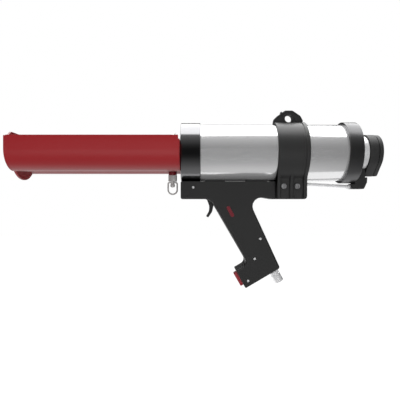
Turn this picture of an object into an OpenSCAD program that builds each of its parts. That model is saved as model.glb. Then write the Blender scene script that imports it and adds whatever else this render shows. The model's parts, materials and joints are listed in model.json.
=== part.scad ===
// Air-powered two-component caulking gun: two cartridges lie side by side in an open carrier,
// an air cylinder pushes both plungers, and a pistol casing hangs under the cylinder.
// Drawn round the cylinder's axis: X runs from the muzzle to the back, Z is up,
// and the front cap's rear edge is X = 0. gun() then moves the hanger eye to the origin.

/* [Cylinder] */
// Outer radius of the cylinder tube
barrel_r = 47.3; // [46:0.1:47.5]
// Wall of the cylinder tube
barrel_wall = 3; // [2:0.5:3.5]
// Where the rear cap starts
rear_cap_x = 237; // [230:1:240]
// Outer radius of the front cap
front_cap_r = 50; // [49.8:0.1:50.2]
// Outer radius of the rear cap
rear_cap_r = 51.4; // [50:0.1:52]

/* [Carrier] */
// Outer radius of each cartridge lobe
lobe_r = 33.2; // [33:0.1:34]
// Thickness of the carrier's bent sheet
sheet = 1.5; // [1.2:0.1:2]
// Length of the carrier
carrier_l = 270; // [260:1:300]
// How far the side walls rise over the lobes' centres
wall_rise = 20.6; // [10:0.1:24]

/* [Pistons and rods] */
// Radius of the two push rods
rod_r = 6; // [5:0.5:6]
// Radius of the plunger discs
disc_r = 29.5; // [28:0.5:30]
// Thickness of the piston
piston_l = 16; // [12:1:16]

/* [Casing] */
// Half the casing's width
casing_y = 21; // [20:0.5:21]
// Wall of the casing
casing_wall = 2.6; // [2:0.1:3]

/* [Strap and eye] */
// Outer radius of the strap round the cylinder
strap_r = 51.5; // [50.5:0.1:51.5]
// Radius of the hanger eye
eye_r = 6.2; // [5:0.1:6.3]

/* [Rear] */
// Radius of the regulator collar
collar_r = 28.5; // [27:0.5:29]
// Radius of the regulator knob
knob_r = 30.6; // [29:0.1:31]

/* [Hidden] */
$fn = 64;
eps = 0.01;
eye = [149.4, 57.9];          // X and Z of the hanger eye
bore_r = barrel_r - barrel_wall;
cap_front_x = -31.5;
cap_floor_x = -14;            // where the tube meets each cap
tube_end_x = rear_cap_x + 10;
rear_face_x = rear_cap_x + 22;
spigot_r = bore_r - 0.1;
seal_groove_r = bore_r - 2.1;
carrier_x = cap_front_x - carrier_l;
lobe_in_r = lobe_r - sheet;
piston_x = 214;
disc_x = -46;
bush_r = 8;
bush_nose_r = 8.8;
running = 0.05;               // radial clearance of running fits

lock_x = -46.4;               // the carrier lock, in the groove between the lobes
boss_r = 7;
boss_low = -37.4;
bush_low = -48.2;
eye_pin_z = -50;
ring_turn = 12;
ring_half = 7.7;
ring_bend = 2.5;
ring_low = -62.2;
ring_wire = 1.3;
tongue_z = [-30, -22];
stud_r = 1.5;
pin_r = 3;
pin_tip = -25.5;

casing_top = -48.5;
casing_low = -78.1;
casing_front = -32;
casing_back = 175;
strap_x = [124, 174.5];
flange_y = 26;
bolt_x = [136.6, 158.6];
bolt_z = -57;
screw_at = [[-11.2, -58.6], [99.5, -143.4], [90.1, -176.5], [79.4, -212.8]];
front_screw_x = -19;

pivot = [18, -60];
pivot_r = 2;
valve_z = -72;
stem_r = 2.5;
toe_at = [60.7, -200.8];
toe_turn = 150;
button_stem = 10.1;           // where the button's stem sits along it
inlet_end = [134.6, -217.4];
inlet_turn = 150;             // from +Z round Y to the way the inlet points
bottom_turn = 150.8;          // from +Z round Y to the casing's bottom face
port_z = -38;                 // air port in the rear cap
air_tube_r = 2.8;
air_tube_a = [170, -52];
air_tube_b = [259, -57.4];
collar_end_x = 276.8;
knob_x = [277.2, 299.3];
spindle_r = 7;

// ---- helpers ----

// moves the hanger eye to the origin
module gun() { translate([-eye.x, 0, -eye.y]) children(); }

// a cylinder along X, from x0 to x1
module xcyl(r, x0, x1, y = 0, z = 0) {
    translate([x0, y, z]) rotate([0, 90, 0]) cylinder(r = r, h = x1 - x0);
}

// a ring along X, with a hole through it
module xring(r_out, r_in, x0, x1, y = 0, z = 0) {
    difference() {
        xcyl(r_out, x0, x1, y, z);
        xcyl(r_in, x0 - 1, x1 + 1, y, z);
    }
}

// a cylinder along Y
module ycyl(r, y0, y1, x, z) {
    translate([x, y1, z]) rotate([90, 0, 0]) cylinder(r = r, h = y1 - y0);
}

// a box from its lowest to its highest corner
module box(a, b) { translate(a) cube(b - a); }

// a shape drawn in X and Z, pulled along Y from y0 to y1
module side(y0, y1) { translate([0, y1, 0]) rotate([90, 0, 0]) linear_extrude(y1 - y0) children(); }

// a shape drawn in Y and Z, pulled along X from x0 to x1
module front(x0, x1) {
    translate([x0, 0, 0]) rotate([90, 0, 90]) linear_extrude(x1 - x0) children();
}

// the same thing at both cartridge lobes
module lobes() { for (s = [-1, 1]) translate([0, s * lobe_r, 0]) children(); }

function unit(v) = v / norm(v);

// points on the arc that rounds corner b between a and c
function arc_corner(a, b, c, r, n = 6) =
    let (u = unit(a - b), w = unit(c - b), half = acos(u * w) / 2,
        centre = b + unit(u + w) * r / sin(half),
        p = b + u * r / tan(half), q = b + w * r / tan(half),
        s = atan2(p.y - centre.y, p.x - centre.x),
        e = atan2(q.y - centre.y, q.x - centre.x),
        turn = (e - s + 540) % 360 - 180)
    [for (i = [0:n]) centre + r * [cos(s + turn * i / n), sin(s + turn * i / n)]];

// an outline of [x, z, corner radius] points
function rounded(pts) =
    let (n = len(pts))
    [for (i = [0:n - 1])
        let (a = pts[(i + n - 1) % n], b = pts[i], c = pts[(i + 1) % n])
        each (b[2] > 0 ? arc_corner([a.x, a.y], [b.x, b.y], [c.x, c.y], b[2]) : [[b.x, b.y]])];

// a coil spring along +Z, drawn as a stack of rings
module spring(r, wire, h, turns) {
    for (i = [0:turns - 1])
        translate([0, 0, wire + i * (h - 2 * wire) / (turns - 1)])
            rotate_extrude() translate([r, 0]) circle(wire, $fn = 16);
}

// ---- air cylinder ----

module barrel_tube() {
    color("silver") gun() xring(barrel_r, bore_r, cap_floor_x, tube_end_x);
}

module front_cap() {
    color([0.08, 0.08, 0.08]) gun() difference() {
        xcyl(front_cap_r, cap_front_x, 0.5);
        difference() {
            xcyl(barrel_r + running, cap_floor_x, 1);
            xcyl(spigot_r, cap_floor_x - 1, cap_floor_x + 8);
        }
        xring(spigot_r + 1, seal_groove_r, cap_floor_x + 2.5, cap_floor_x + 5.5);
        lobes() xcyl(bush_r, cap_front_x - 1, 2);
        lobes() xcyl(bush_r + 1, cap_floor_x - 4, 2);
        translate([front_screw_x, 0, -52]) cylinder(r = 3, h = 14);
        for (s = [-1, 1]) xcyl(stud_r + running, cap_front_x - 1, cap_front_x + 8.5, 2.2 * s, -26);
    }
}

module rear_cap() {
    color([0.25, 0.25, 0.26]) gun() difference() {
        xcyl(rear_cap_r, rear_cap_x, rear_face_x);
        difference() {
            xcyl(barrel_r + running, rear_cap_x - 1, tube_end_x);
            xcyl(spigot_r, tube_end_x - 8, tube_end_x + 1);
        }
        xring(spigot_r + 1, seal_groove_r, tube_end_x - 5.5, tube_end_x - 2.5);
        xcyl(4, rear_cap_x - 1, rear_face_x + 1, 0, port_z);
        xcyl(12, rear_cap_x - 1, rear_face_x + 1);
        for (s = [-1, 1]) xcyl(1.6, rear_face_x - 8, rear_face_x + 1, 7.5 * s, -48);
    }
}

module cap_seals() {
    color("dimgray") gun() for (x = [cap_floor_x + 2.6, tube_end_x - 5.4])
        xring(bore_r - running, seal_groove_r + running, x, x + 2.8);
}

module piston() {
    color("gainsboro") gun() difference() {
        xcyl(bore_r - 0.3, piston_x, piston_x + piston_l);
        for (x = [piston_x + 2.5, piston_x + 9.5])
            xring(bore_r, bore_r - 3.5, x, x + 4);
        lobes() xcyl(4 + running, piston_x - 1, piston_x + piston_l + 1);
    }
}

module piston_seals() {
    color("dimgray") gun() for (x = [piston_x + 2.6, piston_x + 9.6])
        xring(bore_r - running, bore_r - 3.4, x, x + 3.8);
}

module piston_rods() {
    color("gainsboro") gun() lobes() {
        xcyl(rod_r, disc_x + 10, piston_x);
        xcyl(4, piston_x - eps, piston_x + piston_l + 4);
        xcyl(4, disc_x + 2, disc_x + 10 + eps);
    }
}

module rod_nuts() {
    color("silver") gun() lobes() difference() {
        rotate([0, 90, 0]) translate([0, 0, piston_x + piston_l])
            cylinder(r = 7.4, h = 4, $fn = 6);
        xcyl(4 + running, piston_x, piston_x + piston_l + 5);
    }
}

module rod_bushes() {
    color("goldenrod") gun() lobes() difference() {
        union() {
            xcyl(bush_r, cap_front_x, cap_floor_x - 4);
            xcyl(bush_nose_r, cap_front_x - 3, cap_front_x);
        }
        xcyl(rod_r + running, cap_front_x - 4, cap_floor_x);
    }
}

module rod_seals() {
    color("dimgray") gun() lobes()
        xring(bush_r + 1 - running, rod_r + running, cap_floor_x - 3.9, cap_floor_x - 0.5);
}

module plunger_discs() {
    color("whitesmoke") gun() lobes() difference() {
        union() {
            xcyl(disc_r, disc_x, disc_x + 6);
            xcyl(12, disc_x + 5, disc_x + 10);
        }
        xcyl(4 + running, disc_x + 2, disc_x + 11);
        xcyl(2.1, disc_x - 1, disc_x + 3);
    }
}

module disc_screws() {
    color("silver") gun() lobes() {
        difference() {
            xcyl(5, disc_x - 3, disc_x);
            xcyl(2, disc_x - 4, disc_x - 1.2);
        }
        xcyl(2, disc_x - eps, disc_x + 2);
    }
}

// ---- carrier ----

// the two lobes as one flat outline, open upwards
module lobe_outline(r, top) {
    for (s = [-1, 1]) translate([s * lobe_r, 0]) {
        intersection() {
            circle(r);
            translate([-r, -r]) square([2 * r, r + eps]);
        }
        translate([-r, 0]) square([2 * r, top]);
    }
}

module carrier_trough() {
    color("firebrick") gun() front(carrier_x + 3.5, cap_front_x - 2) difference() {
        union() {
            lobe_outline(lobe_r, wall_rise);
            translate([-2, -8]) square([4, 8]);
        }
        lobe_outline(lobe_in_r, wall_rise + 1);
        translate([-lobe_r, 0]) square([2 * lobe_r, wall_rise + 1]);
    }
}

// a plate with a raised middle, a hanging round tab and a slot for the cartridges' outlet
module front_plate() {
    x0 = carrier_x;
    x1 = carrier_x + 3.5;
    color("firebrick") gun() difference() {
        union() {
            front(x0, x1) polygon([[-66.4, -0.5], [-66.4, 20], [-57, 21], [-46, 28.5],
                [46, 28.5], [57, 21], [66.4, 20], [66.4, -0.5]]);
            front(x0, x1) lobe_outline(lobe_r, 5);
            intersection() {
                xcyl(45.7, x0, x1);
                box([x0, -36, -46], [x1, 36, 4]);
            }
        }
        xcyl(18, x0 - 1, x1 + 1);
        box([x0 - 1, -18, 0], [x1 + 1, 18, 40]);
        box([x0 - 1, -80, 28.5], [x1 + 1, 80, 40]);
    }
}

module rear_plate() {
    color("firebrick") gun() difference() {
        front(cap_front_x - 2, cap_front_x) union() {
            lobe_outline(lobe_r, 15);
            translate([-20, -12]) square([40, 27]);
        }
        lobes() xcyl(bush_nose_r + 0.2, cap_front_x - 3, cap_front_x + 1);
    }
}

module dock_tongue() {
    color("silver") gun() difference() {
        union() {
            box([-60, -4, tongue_z[0]], [cap_front_x, 4, tongue_z[1]]);
            for (s = [-1, 1]) xcyl(stud_r, cap_front_x - 1, cap_front_x + 8, 2.2 * s, -26);
        }
        translate([lock_x, 0, tongue_z[0] - 1]) cylinder(r = pin_r + 0.3, h = 10);
        box([-61, -5, tongue_z[0] - 3], [-57, 5, tongue_z[0] + 1.5]);
    }
}

// ---- carrier lock ----

module plunger_boss() {
    color("darkred") gun() difference() {
        translate([lock_x, 0, boss_low]) cylinder(r = boss_r, h = 27);
        lobes() xcyl(lobe_r, -60, -30);
        box([-60, -4.3, tongue_z[0] - 0.3], [-30, 4.3, tongue_z[1] + 0.3]);
        translate([lock_x, 0, boss_low - 1]) cylinder(r = pin_r + 0.1, h = 20);
    }
}

module plunger_bush() {
    color("silver") gun() translate([lock_x, 0, bush_low]) difference() {
        union() {
            cylinder(r = boss_r, h = boss_low - bush_low);
            cylinder(r = 5.6, h = 3);
        }
        translate([0, 0, -1]) cylinder(r = pin_r + 0.1, h = 20);
        translate([0, 0, 2]) cylinder(r = 5.2, h = boss_low - bush_low - 2 + eps);
    }
}

// the pin hangs on through the bush, with a cross hole for the ring and a round end
module lock_pin() {
    color("gainsboro") gun() translate([lock_x, 0, 0]) rotate([0, 0, ring_turn]) difference() {
        union() {
            translate([0, 0, -52]) cylinder(r = pin_r, h = pin_tip + 52);
            translate([0, 0, boss_low - 2]) cylinder(r = 4.9, h = 1.7);
            translate([0, 0, -58.2]) cylinder(r1 = 2.6, r2 = 3.9, h = 1.5);
            translate([0, 0, -56.7]) cylinder(r = 3.9, h = 3.4);
            translate([0, 0, -53.3]) cylinder(r1 = 3.9, r2 = 3, h = 1.3);
        }
        xcyl(ring_wire + 0.2, -6, 6, 0, eye_pin_z);
    }
}

module lock_spring() {
    color("silver") gun() translate([lock_x, 0, bush_low + 2.2]) spring(4.3, 0.5, 6.3, 4);
}

// a quarter or half of a bent wire: the part of a ring inside a box
module bend(x, z, r, a, b) {
    translate([x, 0, z]) intersection() {
        rotate([90, 0, 0]) rotate_extrude() translate([r, 0]) circle(ring_wire, $fn = 32);
        box(a, b);
    }
}

// a long ring of wire: a straight bar through the pin, two legs and a half round
module pull_ring() {
    span = ring_half - ring_bend;
    color("gainsboro") gun() translate([lock_x, 0, 0]) rotate([0, 0, ring_turn]) {
        xcyl(ring_wire, -span - eps, span + eps, 0, eye_pin_z);
        for (s = [-1, 1]) {
            bend(s * span, eye_pin_z - ring_bend, ring_bend, [min(0, s * 5), -3, 0], [max(0, s * 5), 3, 5]);
            translate([s * ring_half, 0, ring_low - eps])
                cylinder(r = ring_wire, h = eye_pin_z - ring_bend - ring_low + 2 * eps, $fn = 32);
        }
        bend(0, ring_low, ring_half, [-10, -3, -10], [10, 3, 0]);
    }
}

// ---- casing ----

casing_outline = [[casing_front, casing_top, 3], [casing_front, casing_low, 3],
    [9, casing_low, 8], [14, -79.8, 0], [20, -83, 0],
    [78.9, -184.8, 9], [59.2, -196.4, 1.5], [75.2, -225.3, 2],
    [132.5, -191.6, 4], [79.1, -75.8, 14.3], [106, -75.6, 10],
    [120, casing_low, 10], [casing_back, casing_low, 3], [casing_back, casing_top, 1.5]];

// one half shell; s is -1 on the left and 1 on the right
module half_shell(s) {
    far = s * casing_y;
    inner = s * (casing_y - casing_wall);
    difference() {
        union() {
            difference() {
                side(min(0, far), max(0, far)) polygon(rounded(casing_outline));
                side(min(-s, inner), max(-s, inner))
                    offset(delta = -casing_wall) polygon(rounded(casing_outline));
            }
            for (p = screw_at) ycyl(4.5, min(0, far), max(0, far), p.x, p.y);
            for (x = bolt_x) ycyl(6, min(0, far), max(0, far), x, bolt_z);
            box([front_screw_x - 7, min(0, s * 10), -60], [front_screw_x + 7, max(0, s * 10), -49]);
            ycyl(4.5, min(s * 7, far), max(s * 7, far), pivot.x, pivot.y);
        }
        xcyl(front_cap_r + 0.2, cap_front_x - 1, 1);
        for (p = screw_at) ycyl(1.6, -30, 30, p.x, p.y);
        for (p = screw_at) ycyl(2.5, -casing_y - 1, -casing_y + 2.4, p.x, p.y);
        for (x = bolt_x) ycyl(3.1, -30, 30, x, bolt_z);
        translate([front_screw_x, 0, -70]) cylinder(r = 3.2, h = 30);
        translate([front_screw_x, 0, -70]) cylinder(r = 5.3, h = 13);
        ycyl(pivot_r, -12, 12, pivot.x, pivot.y);
        box([10.5, -5.4, -99], [34, 5.4, -74]);
        translate([toe_at.x, 0, toe_at.y]) rotate([0, toe_turn, 0])
            box([-5, -6.3, -0.3], [3, 6.3, 24.9]);
        translate([inlet_end.x, 0, inlet_end.y]) rotate([0, inlet_turn, 0])
            translate([0, 0, -52]) cylinder(r = 6.6, h = 51);
        translate([98, 0, -211.2]) rotate([0, bottom_turn, 0])
            translate([0, 0, -5]) cylinder(r = 8, h = 7);
        translate([air_tube_a.x, 0, air_tube_a.y]) rotate([0, 93.5, 0]) cylinder(r = air_tube_r + 0.1, h = 20);
        box([165.9, -6.1, -74.5], [171.7, 6.1, -49.1]);
        inlay_bar(s * (casing_y - 0.8), s * (casing_y + 1), 0);
    }
}

module casing_left() { color([0.17, 0.17, 0.17]) gun() half_shell(-1); }

module casing_right() { color([0.17, 0.17, 0.17]) gun() half_shell(1); }

module casing_screws() {
    color("silver") gun() for (p = screw_at) difference() {
        union() {
            ycyl(1.55, -casing_y + 0.6, casing_y - 1, p.x, p.y);
            ycyl(2.4, -casing_y + 0.4, -casing_y + 2.4, p.x, p.y);
        }
        ycyl(1.1, -casing_y - 1, -casing_y + 1.4, p.x, p.y);
    }
}

module cap_screw() {
    color("silver") gun() translate([front_screw_x, 0, 0]) difference() {
        union() {
            translate([0, 0, -62]) cylinder(r = 5, h = 5);
            translate([0, 0, -57 - eps]) cylinder(r = 3, h = 19);
        }
        translate([0, 0, -63]) cylinder(r = 2.9, h = 4, $fn = 6);
    }
}

module saddle_pads() {
    color("dimgray") gun() for (x = [8, 78], y = [-14, 6]) difference() {
        box([x, y, casing_top], [x + 34, y + 8, -44.5]);
        xcyl(barrel_r, x - 1, x + 35, $fn = 200);
    }
}

// the slim bar let into each side of the grip
module inlay_bar(y0, y1, play) {
    a = [46.7, -92.3];
    b = [53.4, -104.6];
    r = 3 - play;
    turn = atan2(b.y - a.y, b.x - a.x);
    side(min(y0, y1), max(y0, y1))
        polygon([for (i = [0:8]) a + r * [cos(turn + 90 + i * 22.5), sin(turn + 90 + i * 22.5)],
            for (i = [0:8]) b + r * [cos(turn - 90 + i * 22.5), sin(turn - 90 + i * 22.5)]]);
}

module grip_inlays() {
    color("crimson") gun() for (s = [-1, 1]) inlay_bar(s * (casing_y - 0.7), s * (casing_y + 0.2), 0.05);
}

// ---- strap and hanger eye ----

module strap_clamp() {
    color([0.18, 0.18, 0.18]) gun() difference() {
        union() {
            xcyl(strap_r, strap_x[0], strap_x[1]);
            box([strap_x[0], -flange_y, casing_low], [strap_x[1], flange_y, -30]);
            for (x = [126, 147.2, 169.4]) front(x, x + 4.4)
                polygon([[-41, -31], [-29.5, -52], [-29, casing_low], [29, casing_low],
                    [29.5, -52], [41, -31]]);
            side(-5, 5) polygon([[124.2, 40], [125.1, 57.2], [129.4, 61.4], [143.5, 71.6],
                [156.2, 71.6], [169.5, 62.6], [174.6, 54.6], [173.8, 40]]);
        }
        xcyl(barrel_r + running, 100, 200);
        box([100, -casing_y - 0.1, -90], [200, casing_y + 0.1, -30]);
        for (x = bolt_x) ycyl(3.1, -60, 60, x, bolt_z);
        ycyl(eye_r, -20, 20, eye.x, eye.y);
    }
}

module strap_bolts() {
    color("gray") gun() for (x = bolt_x) difference() {
        union() {
            ycyl(3, -flange_y - eps, flange_y + 5, x, bolt_z);
            ycyl(4.3, -flange_y - 3.4, -flange_y, x, bolt_z);
        }
        translate([x, -flange_y - 1.4, bolt_z]) rotate([90, 0, 0]) cylinder(r = 2.4, h = 4, $fn = 6);
    }
}

module strap_nuts() {
    color("gray") gun() for (x = bolt_x) difference() {
        translate([x, flange_y + 4.2, bolt_z]) rotate([90, 0, 0]) cylinder(r = 5.3, h = 4.2, $fn = 6);
        ycyl(3 + running, 0, 60, x, bolt_z);
    }
}

// ---- trigger and valve ----

module trigger() {
    color([0.14, 0.14, 0.14]) gun() difference() {
        union() {
            ycyl(6, -5, 5, pivot.x, pivot.y);
            side(-5, 5) polygon(rounded([[11, -60, 0], [11, -77, 12], [15.9, -90, 12],
                [15.3, -98.5, 10], [10.3, -107, 0.8], [14, -109, 0.8],
                [20.5, -99.5, 8], [23, -88, 10], [24, -76, 6], [24, -60, 0]]));
        }
        ycyl(pivot_r + running, -10, 10, pivot.x, pivot.y);
    }
}

module trigger_pin() {
    color("silver") gun() ycyl(pivot_r, -12, 12, pivot.x, pivot.y);
}

module valve_body() {
    color("goldenrod") gun() difference() {
        union() {
            xcyl(6.5, 30, 34, 0, valve_z);
            xcyl(8, 34, 74, 0, valve_z);
        }
        xcyl(stem_r + running, 29, 36, 0, valve_z);
        xcyl(5, 35.5, 68, 0, valve_z);
        xcyl(2.5, 67, 75, 0, valve_z);
        translate([62, 0, valve_z - 9]) cylinder(r = 2.5, h = 8);
    }
}

module valve_stem() {
    color("gainsboro") gun() {
        xcyl(stem_r, 24.35, 50, 0, valve_z);
        xcyl(4.6, 44, 47, 0, valve_z);
    }
}

module valve_spring() {
    color("silver") gun() translate([50.3, 0, valve_z]) rotate([0, 90, 0]) spring(3.8, 0.5, 17, 7);
}

// a tube between two points in the plane Y = 0
module tube(a, b, r, r_in) {
    turn = 90 + atan2(-(b.y - a.y), b.x - a.x);
    translate([a.x, 0, a.y]) rotate([0, turn, 0]) difference() {
        cylinder(r = r, h = norm(b - a));
        if (r_in > 0) translate([0, 0, -1]) cylinder(r = r_in, h = norm(b - a) + 2);
    }
}

module grip_tube() {
    color("steelblue") gun() difference() {
        tube([104.6, -175.3], [62, -79], 2.5, 1.6);
        xcyl(8, 34, 74, 0, valve_z);
    }
}

module outlet_tube() {
    color("steelblue") gun() difference() {
        xring(2.5, 1.6, 74, 166, 0, -69);
        xcyl(8, 34, 74, 0, valve_z);
    }
}

module outlet_manifold() {
    color("silver") gun() difference() {
        box([166, -6, -74], [171.6, 6, -49.2]);
        xcyl(1.6, 165, 169, 0, -69);
        xcyl(1.6, 168, 173, 0, -52.1);
        translate([168.8, 0, -72]) cylinder(r = 1.6, h = 20);
    }
}

module air_tube() {
    color("silver") gun() difference() {
        tube(air_tube_a, air_tube_b, air_tube_r, 1.8);
        box([160, -10, -80], [171.6, 10, -30]);
    }
}

module tube_nut() {
    color("silver") gun() tube([249, -56.79], [254.8, -57.145], 3.4, air_tube_r);
}

// ---- rear end ----

module rear_elbow() {
    color([0.12, 0.12, 0.12]) gun() difference() {
        union() {
            side(-10, 10) polygon(rounded([[255, -52.4, 0], [255, -61, 1],
                [275, -61, 2], [280.5, -49, 3], [280.5, -41.4, 1], [276.6, -41.4, 0],
                [276.6, -24, 0], [rear_face_x, -24, 0], [rear_face_x, -52.4, 0]]));
            xcyl(4 - running, rear_face_x - 6, rear_face_x + 1, 0, port_z);
        }
        xcyl(collar_r + 0.05, rear_face_x - 1, 282);
        xcyl(1.8, 258, 265, 0, -57.4);
        xcyl(2, rear_face_x - 7, 268, 0, port_z);
        tube(air_tube_a, air_tube_b, air_tube_r, 0);
        translate([264, 0, -57]) cylinder(r = 2, h = 19);
        for (s = [-1, 1]) xcyl(1.7, rear_face_x - 1, 282, 7.5 * s, -48);
        for (s = [-1, 1]) xcyl(2.4, 270.1, 282, 7.5 * s, -48);
    }
}

module elbow_screws() {
    color("silver") gun() for (s = [-1, 1]) {
        xcyl(1.55, rear_face_x - 7, 272, 7.5 * s, -48);
        xcyl(2.3, 270.2, 272, 7.5 * s, -48);
    }
}

module rear_collar() {
    color("silver") gun() difference() {
        union() {
            xcyl(collar_r, rear_face_x, collar_end_x);
            xcyl(12 - running, rear_cap_x + 2, rear_face_x + 1);
        }
        xcyl(5, rear_cap_x, collar_end_x - 6);
        xcyl(spindle_r, collar_end_x - 7, collar_end_x + 1);
    }
}

module regulator_spindle() {
    color("silver") gun() difference() {
        xcyl(spindle_r - running, collar_end_x - 6, 290);
        xcyl(2.4, 282, 291);
    }
}

// the knob's outline: a round with a flat-ended lug hanging from it
module knob_outline(r) {
    circle(r);
    low = -knob_r - 9;
    reach = 4;
    k = acos(r / norm([reach, low]));
    out = atan2(low, reach);
    touch = r * [cos(out + k), sin(out + k)];
    polygon([[-reach, low], [reach, low], [touch.x, touch.y], [0, 0], [-touch.x, touch.y]]);
}

module knob() {
    color([0.15, 0.15, 0.15]) gun() difference() {
        front(knob_x[0], 291.6) knob_outline(knob_r);
        xcyl(spindle_r - running, knob_x[0] - 1, 290.2);
        xcyl(2.6, 289, 300);
    }
}

module knob_cap() {
    color([0.15, 0.15, 0.15]) gun() difference() {
        union() {
            front(292.2, knob_x[1]) knob_outline(knob_r - 0.4);
            xcyl(20, 291.6, 292.3);
        }
        xcyl(2.6, 291, 300);
        xcyl(6, 296, 300);
    }
}

module knob_screw() {
    color("silver") gun() difference() {
        union() {
            xcyl(5.4, 296, 298.6);
            xcyl(2.35, 284, 296 + eps);
        }
        translate([297, 0, 0]) rotate([0, 90, 0]) cylinder(r = 2.6, h = 3, $fn = 6);
    }
}

// ---- inlet, exhaust and reverse button ----

module inlet_fitting() {
    color("silver") gun() translate([inlet_end.x, 0, inlet_end.y]) rotate([0, inlet_turn, 0]) difference() {
        union() {
            translate([0, 0, -19.4]) cylinder(r = 7.8, h = 19.4);
            translate([0, 0, -50.8]) cylinder(r = 6.5, h = 32);
        }
        translate([0, 0, -12]) cylinder(r = 5.7, h = 15);
        translate([0, 0, -13.6]) cylinder(r = 5.2, h = 3);
        translate([0, 0, -52]) cylinder(r = 2.5, h = 52);
    }
}

module inlet_seal() {
    color("dimgray") gun() translate([inlet_end.x, 0, inlet_end.y]) rotate([0, inlet_turn, 0])
        translate([0, 0, -13.55]) difference() {
            cylinder(r = 5.15, h = 1.3);
            translate([0, 0, -1]) cylinder(r = 3, h = 4);
        }
}

module exhaust_muffler() {
    color("peru") gun() translate([98, 0, -211.2]) rotate([0, bottom_turn, 0])
        translate([0, 0, -5]) cylinder(r = 7.95, h = 5.6);
}

// the button's own frame: X points out of the toe, Z runs down it
module toe() { translate([toe_at.x, 0, toe_at.y]) rotate([0, toe_turn, 0]) children(); }

module reverse_button() {
    color("crimson") gun() toe() {
        box([-1, -6, 0], [5, 6, 24.6]);
        xcyl(stem_r, -16, -1 + eps, 0, button_stem);
        xcyl(4, -5, -4, 0, button_stem);
    }
}

module button_spring() {
    color("silver") gun() toe() translate([-11, 0, button_stem]) rotate([0, 90, 0]) spring(3.4, 0.4, 5.9, 3);
}

module button_valve() {
    color("goldenrod") gun() toe() difference() {
        xcyl(5, -26, -11.3, 0, button_stem);
        xcyl(stem_r + running, -20, -10, 0, button_stem);
    }
}

barrel_tube();
front_cap();
rear_cap();
cap_seals();
piston();
piston_seals();
piston_rods();
rod_nuts();
rod_bushes();
rod_seals();
plunger_discs();
disc_screws();
carrier_trough();
front_plate();
rear_plate();
dock_tongue();
plunger_boss();
plunger_bush();
lock_pin();
lock_spring();
pull_ring();
casing_left();
casing_right();
casing_screws();
cap_screw();
saddle_pads();
strap_clamp();
strap_bolts();
strap_nuts();
trigger();
trigger_pin();
valve_body();
valve_stem();
valve_spring();
grip_tube();
outlet_tube();
outlet_manifold();
air_tube();
tube_nut();
rear_elbow();
elbow_screws();
rear_collar();
regulator_spindle();
knob();
knob_cap();
knob_screw();
inlet_fitting();
inlet_seal();
exhaust_muffler();
reverse_button();
button_spring();
button_valve();
grip_inlays();
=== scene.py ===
import json
import math

import bmesh
import bpy
from mathutils import Matrix, Vector

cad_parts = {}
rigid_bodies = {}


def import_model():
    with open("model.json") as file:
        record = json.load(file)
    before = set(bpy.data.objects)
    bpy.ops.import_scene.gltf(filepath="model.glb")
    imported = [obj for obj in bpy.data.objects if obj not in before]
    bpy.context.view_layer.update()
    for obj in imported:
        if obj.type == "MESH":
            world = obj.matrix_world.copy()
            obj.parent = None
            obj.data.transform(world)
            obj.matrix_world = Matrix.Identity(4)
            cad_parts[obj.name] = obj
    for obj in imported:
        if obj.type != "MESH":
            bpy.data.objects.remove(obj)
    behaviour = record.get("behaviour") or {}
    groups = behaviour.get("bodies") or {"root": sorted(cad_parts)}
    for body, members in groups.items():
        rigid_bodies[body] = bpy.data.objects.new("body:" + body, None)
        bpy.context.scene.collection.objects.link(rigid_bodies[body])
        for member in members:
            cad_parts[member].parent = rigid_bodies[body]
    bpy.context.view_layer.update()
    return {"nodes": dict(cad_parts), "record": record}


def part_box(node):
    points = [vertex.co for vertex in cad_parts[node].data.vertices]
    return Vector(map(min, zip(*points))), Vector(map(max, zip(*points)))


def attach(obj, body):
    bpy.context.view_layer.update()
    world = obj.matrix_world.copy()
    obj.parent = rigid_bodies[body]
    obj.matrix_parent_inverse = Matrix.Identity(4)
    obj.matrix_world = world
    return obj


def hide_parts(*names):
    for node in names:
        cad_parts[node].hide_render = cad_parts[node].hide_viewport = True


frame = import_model()
mm = 0.001

# Sizes below are millimetres from the cylinder's axis, at the front cap's back edge.
tubeLow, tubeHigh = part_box("barrel_tube")
zero = Vector((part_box("front_cap")[1].x - 0.5 * mm, 0, (tubeLow.z + tubeHigh.z) / 2))
slotOf = {part["node"]: part["material_slot"] for part in frame["record"]["subparts"]}


# Shader wiring
class Link:
    def __init__(self, shader, socket):
        self.shader = shader
        self.socket = socket

    def maths(self, operation, a, b):
        return self.shader.node("ShaderNodeMath", {"operation": operation}, {0: a, 1: b})

    def __add__(self, other):
        return self.maths("ADD", self, other)

    def __sub__(self, other):
        return self.maths("SUBTRACT", self, other)

    def __rsub__(self, other):
        return self.maths("SUBTRACT", other, self)

    def __mul__(self, other):
        return self.maths("MULTIPLY", self, other)

    __radd__ = __add__
    __rmul__ = __mul__


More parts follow.
